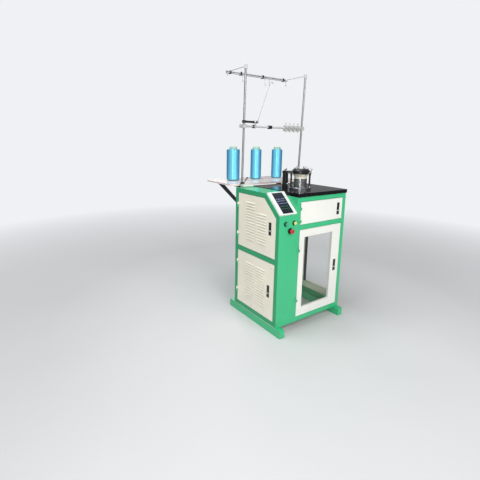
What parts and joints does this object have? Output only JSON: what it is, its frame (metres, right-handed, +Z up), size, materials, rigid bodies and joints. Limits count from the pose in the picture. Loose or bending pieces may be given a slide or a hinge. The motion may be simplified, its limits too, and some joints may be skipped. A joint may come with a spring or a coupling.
{
  "type": "industrial knitting machine",
  "caption": "Circular knitting machine: louvred cabinet with control column, needle cylinder and feeders on the worktop, yarn stand and creel board with bobbins.",
  "frame": {"origin": "centre of the bounding box at floor level, under the two base rails", "axes": "+Z up; the front with its doors and push buttons faces -Y; +X points to the right seen from the front"},
  "size_m": [0.7425, 0.978, 1.9543],
  "materials": {
    "green_paint": "semi-gloss powder coat",
    "ivory_paint": "semi-gloss powder coat",
    "black_gloss": "polished",
    "white_plastic": "smooth",
    "screen": "smooth",
    "bright_steel": "bright",
    "control_parts": "satin",
    "grey_enamel": "painted",
    "belt_rubber": "matt",
    "machined_steel": "turned",
    "dark_steel": "polished",
    "warm_steel": "polished",
    "black_iron": "black finish",
    "pale_metal": "satin",
    "black_plastic": "satin",
    "pale_units": "satin",
    "creel_laminate": "laminated",
    "core_plastic": "smooth",
    "blue_filament": "lustrous wound yarn",
    "clear_acrylic": "clear",
    "lock_black": "black coat",
    "green_button": "smooth",
    "yellow_button": "smooth",
    "red_button": "smooth",
    "roller_rubber": "knurled"
  },
  "bodies": {
    "cabinet": {"base_rails": "green_paint", "front_frame": "green_paint", "left_frame": "green_paint", "right_frame": "green_paint", "back_panel": "green_paint", "column_cover": "green_paint", "inner_plates": "ivory_paint", "table_top": "black_gloss", "hmi_bezel": "white_plastic", "hmi_screen": "screen", "button_collars": "black_plastic", "hinge_pins": "bright_steel", "control_gear": "control_parts", "motor": "grey_enamel", "drive_belt": "belt_rubber", "bearing_frames": "machined_steel", "head_flange": "bright_steel", "cam_sleeve": "dark_steel", "sinker_ring": "warm_steel", "head_post": "black_iron", "feeder_plate": "black_iron", "yarn_feeders": "bright_steel", "stand_poles": "pale_metal", "pole_caps": "white_plastic", "guide_bar": "pale_metal", "guide_hooks": "bright_steel", "cross_bar": "bright_steel", "bar_clamps": "black_plastic", "tension_units": "pale_units", "creel_board": "creel_laminate", "creel_brackets": "black_iron", "bobbin_cores": "core_plastic", "yarn_packages": "blue_filament"},
    "door_left_upper": {"door_left_upper": "ivory_paint"},
    "door_left_lower": {"door_left_lower": "ivory_paint"},
    "door_front_upper": {"door_front_upper": "ivory_paint"},
    "door_front_lower": {"door_front_lower": "ivory_paint", "pane_front": "clear_acrylic"},
    "door_right": {"door_right": "ivory_paint", "pane_right": "clear_acrylic"},
    "lever_left_upper": {"lever_left_upper": "lock_black"},
    "push_left_upper": {"push_left_upper": "lock_black"},
    "lever_left_lower": {"lever_left_lower": "lock_black"},
    "push_left_lower": {"push_left_lower": "lock_black"},
    "lever_front_upper": {"lever_front_upper": "lock_black"},
    "push_front_upper": {"push_front_upper": "lock_black"},
    "lever_front_lower": {"lever_front_lower": "lock_black"},
    "push_front_lower": {"push_front_lower": "lock_black"},
    "lever_right": {"lever_right": "lock_black"},
    "push_right": {"push_right": "lock_black"},
    "start_button": {"start_button": "green_button"},
    "stop_button": {"stop_button": "yellow_button"},
    "estop_button": {"estop_button": "red_button"},
    "drive_shaft": {"drive_shaft": "machined_steel"},
    "motor_pulley": {"motor_pulley": "machined_steel"},
    "takedown_roller_front": {"takedown_roller_front": "roller_rubber"},
    "takedown_roller_back": {"takedown_roller_back": "roller_rubber"},
    "tension_wire": {"tension_wire": "pale_metal"},
    "needle_cylinder": {"needle_cylinder": "machined_steel", "needles": "machined_steel"}
  },
  "joints": [
    {"name": "door_left_upper_hinge", "type": "hinge", "parent": "cabinet", "child": "door_left_upper", "pos_m": [-0.32875, 0.04525, 0.7895], "axis": [0, 0, -1], "range_deg": [0, 100]},
    {"name": "door_left_lower_hinge", "type": "hinge", "parent": "cabinet", "child": "door_left_lower", "pos_m": [-0.32875, 0.04525, 0.318], "axis": [0, 0, -1], "range_deg": [0, 100]},
    {"name": "door_front_upper_hinge", "type": "hinge", "parent": "cabinet", "child": "door_front_upper", "pos_m": [-0.1245, -0.4485, 0.896], "axis": [0, 0, -1], "range_deg": [0, 105]},
    {"name": "door_front_lower_hinge", "type": "hinge", "parent": "cabinet", "child": "door_front_lower", "pos_m": [-0.1245, -0.4485, 0.4375], "axis": [0, 0, -1], "range_deg": [0, 105]},
    {"name": "door_right_hinge", "type": "hinge", "parent": "cabinet", "child": "door_right", "pos_m": [0.36625, -0.40625, 0.4375], "axis": [0, 0, -1], "range_deg": [0, 105]},
    {"name": "lever_left_upper_hinge", "type": "hinge", "parent": "door_left_upper", "child": "lever_left_upper", "pos_m": [-0.31975, -0.347, 0.8285], "axis": [0, 1, 0], "range_deg": [0, 30]},
    {"name": "push_left_upper_slide", "type": "slide", "parent": "door_left_upper", "child": "push_left_upper", "axis": [1, 0, 0], "range_m": [0, 0.003], "stiffness_N_per_m": 400, "springref_m": -0.002},
    {"name": "lever_left_lower_hinge", "type": "hinge", "parent": "door_left_lower", "child": "lever_left_lower", "pos_m": [-0.31975, -0.347, 0.357], "axis": [0, 1, 0], "range_deg": [0, 30]},
    {"name": "push_left_lower_slide", "type": "slide", "parent": "door_left_lower", "child": "push_left_lower", "axis": [1, 0, 0], "range_m": [0, 0.003], "stiffness_N_per_m": 400, "springref_m": -0.002},
    {"name": "lever_front_upper_hinge", "type": "hinge", "parent": "door_front_upper", "child": "lever_front_upper", "pos_m": [0.27375, -0.4395, 0.935], "axis": [-1, 0, 0], "range_deg": [0, 30]},
    {"name": "push_front_upper_slide", "type": "slide", "parent": "door_front_upper", "child": "push_front_upper", "axis": [0, 1, 0], "range_m": [0, 0.003], "stiffness_N_per_m": 400, "springref_m": -0.002},
    {"name": "lever_front_lower_hinge", "type": "hinge", "parent": "door_front_lower", "child": "lever_front_lower", "pos_m": [0.27375, -0.4395, 0.4765], "axis": [-1, 0, 0], "range_deg": [0, 30]},
    {"name": "push_front_lower_slide", "type": "slide", "parent": "door_front_lower", "child": "push_front_lower", "axis": [0, 1, 0], "range_m": [0, 0.003], "stiffness_N_per_m": 400, "springref_m": -0.002},
    {"name": "lever_right_hinge", "type": "hinge", "parent": "door_right", "child": "lever_right", "pos_m": [0.35725, -0.002, 0.4765], "axis": [0, -1, 0], "range_deg": [0, 30]},
    {"name": "push_right_slide", "type": "slide", "parent": "door_right", "child": "push_right", "axis": [-1, 0, 0], "range_m": [0, 0.003], "stiffness_N_per_m": 400, "springref_m": -0.002},
    {"name": "start_button_slide", "type": "slide", "parent": "cabinet", "child": "start_button", "axis": [0, 1, 0], "range_m": [0, 0.004], "stiffness_N_per_m": 500, "springref_m": -0.003},
    {"name": "stop_button_slide", "type": "slide", "parent": "cabinet", "child": "stop_button", "axis": [0, 1, 0], "range_m": [0, 0.004], "stiffness_N_per_m": 500, "springref_m": -0.003},
    {"name": "estop_button_slide", "type": "slide", "parent": "cabinet", "child": "estop_button", "axis": [0, 1, 0], "range_m": [0, 0.005]},
    {"name": "needle_spin", "type": "hinge", "parent": "cabinet", "child": "needle_cylinder", "pos_m": [0.04575, -0.25, 1], "axis": [0, 0, 1], "continuous": true},
    {"name": "drive_spin", "type": "hinge", "parent": "cabinet", "child": "drive_shaft", "pos_m": [0.10575, -0.17, 0.95], "axis": [0, 0, 1], "continuous": true},
    {"name": "motor_spin", "type": "hinge", "parent": "cabinet", "child": "motor_pulley", "pos_m": [0.23075, -0.045, 0.95], "axis": [0, 0, 1], "continuous": true},
    {"name": "roller_back_spin", "type": "hinge", "parent": "cabinet", "child": "takedown_roller_back", "pos_m": [0.04575, -0.2298, 0.8565], "axis": [1, 0, 0], "continuous": true},
    {"name": "roller_front_spin", "type": "hinge", "parent": "cabinet", "child": "takedown_roller_front", "pos_m": [0.04575, -0.2702, 0.8565], "axis": [1, 0, 0], "continuous": true},
    {"name": "tension_wire_hinge", "type": "hinge", "parent": "cabinet", "child": "tension_wire", "pos_m": [-0.15925, 0.046, 1.541], "axis": [0, 1, 0], "range_deg": [0, 25], "stiffness_Nm_per_rad": 0.4, "springref_deg": -17.19}
  ],
  "couplings": [
    {"joint": "drive_spin", "follows": "needle_spin", "ratio": -4},
    {"joint": "motor_spin", "follows": "needle_spin", "ratio": -8},
    {"joint": "roller_front_spin", "follows": "roller_back_spin", "ratio": -1}
  ]
}
